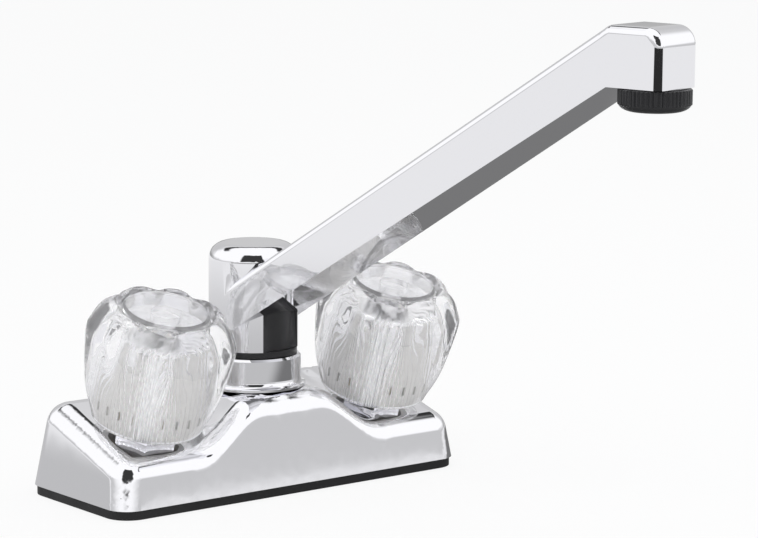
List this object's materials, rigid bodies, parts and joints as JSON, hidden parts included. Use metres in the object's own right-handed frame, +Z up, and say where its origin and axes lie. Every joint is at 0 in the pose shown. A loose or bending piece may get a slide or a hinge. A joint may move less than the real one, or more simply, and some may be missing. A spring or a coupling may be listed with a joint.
{
  "type": "two-handle kitchen faucet",
  "caption": "Two-handle kitchen faucet: low chromed deck cover on a gasket, rising swivel spout with a black aerator, and clear fluted knobs.",
  "frame": {"origin": "on the spout's swivel axis, at the sink deck under the gasket", "axes": "+Z up from the deck, +X from the left inlet to the right inlet, -Y toward the bowl and the user"},
  "size_m": [0.1554, 0.2213, 0.2221],
  "materials": {
    "chrome_plate": "bright chrome plate on moulded plastic",
    "gasket_rubber": "matt black",
    "seal_rubber": "satin black",
    "black_plastic": "satin black",
    "grey_acetal": "satin grey",
    "cream_plastic": "satin cream",
    "clear_acrylic": "clear, polished",
    "bright_brass": "machined",
    "stainless_steel": "plain"
  },
  "bodies": {
    "base": {"base_gasket": "gasket_rubber", "base_cover": "chrome_plate", "waterway_body": "grey_acetal", "mounting_nuts": "grey_acetal", "spout_nut": "chrome_plate", "hot_bonnet_nut": "bright_brass", "hot_cartridge": "grey_acetal", "hot_seat": "seal_rubber", "hot_seat_spring": "stainless_steel", "cold_bonnet_nut": "bright_brass", "cold_cartridge": "grey_acetal", "cold_seat": "seal_rubber", "cold_seat_spring": "stainless_steel"},
    "spout": {"thrust_ring": "grey_acetal", "oring_upper": "seal_rubber", "oring_lower": "seal_rubber", "hub_insert": "black_plastic", "spout_shell": "chrome_plate", "spout_tube": "bright_brass", "outlet_nipple": "bright_brass", "aerator_housing": "black_plastic", "aerator_screen": "stainless_steel", "aerator_washer": "seal_rubber"},
    "hot_handle": {"hot_stem": "bright_brass", "hot_knob_insert": "cream_plastic", "hot_knob": "clear_acrylic", "hot_index_button": "clear_acrylic", "hot_knob_screw": "stainless_steel"},
    "cold_handle": {"cold_stem": "bright_brass", "cold_knob_insert": "cream_plastic", "cold_knob": "clear_acrylic", "cold_index_button": "clear_acrylic", "cold_knob_screw": "stainless_steel"}
  },
  "joints": [
    {"name": "spout_swivel", "type": "hinge", "parent": "base", "child": "spout", "pos_m": [0, 0, 0.05], "axis": [0, 0, 1], "range_deg": [-100, 80]},
    {"name": "hot_handle_turn", "type": "hinge", "parent": "base", "child": "hot_handle", "pos_m": [-0.0508, -0.00442, 0.02545], "axis": [0, -0.2924, 0.9563], "range_deg": [0, 90]},
    {"name": "cold_handle_turn", "type": "hinge", "parent": "base", "child": "cold_handle", "pos_m": [0.0508, -0.00442, 0.02545], "axis": [0, -0.2924, 0.9563], "range_deg": [-90, 0]}
  ]
}
